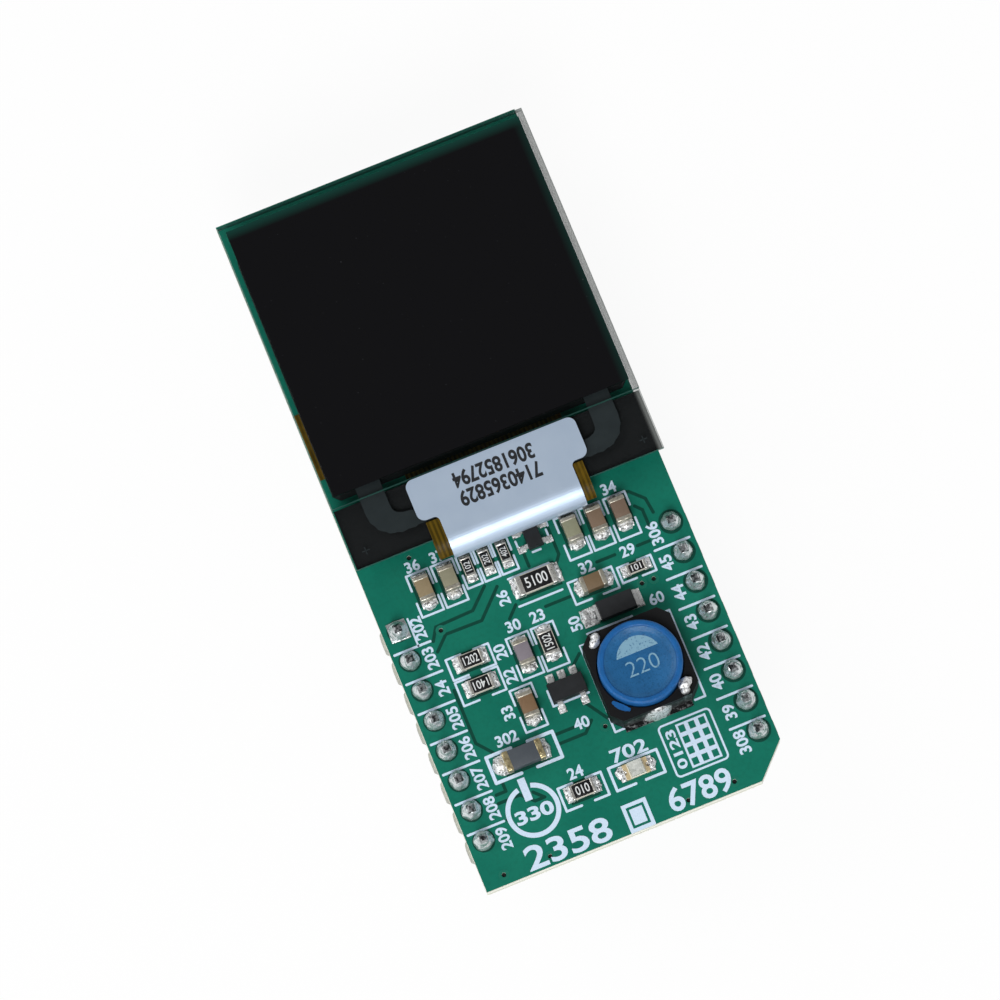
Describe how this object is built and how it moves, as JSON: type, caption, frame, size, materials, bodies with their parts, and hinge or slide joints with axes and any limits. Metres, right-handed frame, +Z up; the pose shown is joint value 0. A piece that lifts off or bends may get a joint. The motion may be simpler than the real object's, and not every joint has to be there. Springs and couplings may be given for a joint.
{
  "type": "display board",
  "caption": "Plug-in board with a square black display panel at one end and small power parts between two rows of header pins.",
  "frame": {"origin": "centre of the two-row pin pattern, on the plane where the undersides of the header housings seat", "axes": "+Y from the pins towards the display, +Z up out of the component side, +X to the right"},
  "size_m": [0.0257, 0.0571, 0.0142],
  "materials": {
    "solder_mask": "glass-fibre laminate under a green, slightly glossy solder mask with white print",
    "header_plastic": "moulded ivory nylon",
    "pin_metal": "tin-plated brass",
    "solder": "bright reflowed solder",
    "rear_glass": "clear sheet glass with faint traces on the ledge",
    "cover_glass": "clear sheet glass with ground edges",
    "polariser_film": "glossy black polarising film",
    "silicon": "dark die",
    "amber_film": "amber polyimide film",
    "adhesive": "black adhesive",
    "silver_foil": "satin silver foil with printed digits",
    "foam": "black foam",
    "mask_sheet": "matte black sheet",
    "capacitor_ceramic": "brown fired ceramic with tinned ends",
    "resistor_ceramic": "black glazed top on white ceramic with tinned ends and plain digits",
    "ferrite": "dark grey ferrite with plated ends",
    "moulding": "moulded charcoal epoxy",
    "tinned_lead": "tinned metal",
    "base_plastic": "moulded black resin",
    "blue_enamel": "ferrite under satin blue paint",
    "copper_wire": "enamelled copper wire",
    "lamp_laminate": "white laminate with plated ends",
    "lamp_resin": "clear resin",
    "lamp_crystal": "pale yellow crystal"
  },
  "bodies": {
    "root": {"circuit_board": "solder_mask", "header_housing_left": "header_plastic", "header_housing_right": "header_plastic", "header_pins_left": "pin_metal", "header_pins_right": "pin_metal", "pin_solder_left": "solder", "pin_solder_right": "solder", "chip_solder": "solder", "display_rear_glass": "rear_glass", "display_cover_glass": "cover_glass", "polariser": "polariser_film", "driver_chip": "silicon", "display_film": "amber_film", "tape_adhesive": "adhesive", "silver_tape": "silver_foil", "foam_pad": "foam", "ledge_mask": "mask_sheet", "capacitor_1": "capacitor_ceramic", "capacitor_2": "capacitor_ceramic", "capacitor_3": "capacitor_ceramic", "capacitor_4": "capacitor_ceramic", "capacitor_5": "capacitor_ceramic", "capacitor_6": "capacitor_ceramic", "capacitor_7": "capacitor_ceramic", "capacitor_8": "capacitor_ceramic", "resistor_1": "resistor_ceramic", "resistor_2": "resistor_ceramic", "resistor_3": "resistor_ceramic", "resistor_4": "resistor_ceramic", "resistor_5": "resistor_ceramic", "resistor_6": "resistor_ceramic", "resistor_7": "resistor_ceramic", "resistor_8": "resistor_ceramic", "resistor_9": "resistor_ceramic", "ferrite_bead": "ferrite", "diode_body": "moulding", "regulator_body": "moulding", "switch_body": "moulding", "diode_terminals": "tinned_lead", "regulator_leads": "tinned_lead", "switch_leads": "tinned_lead", "inductor_terminals": "tinned_lead", "inductor_base": "base_plastic", "inductor_ring": "blue_enamel", "inductor_drum": "blue_enamel", "inductor_winding": "copper_wire", "lamp_base": "lamp_laminate", "lamp_lens": "lamp_resin", "lamp_die": "lamp_crystal"}
  },
  "joints": []
}
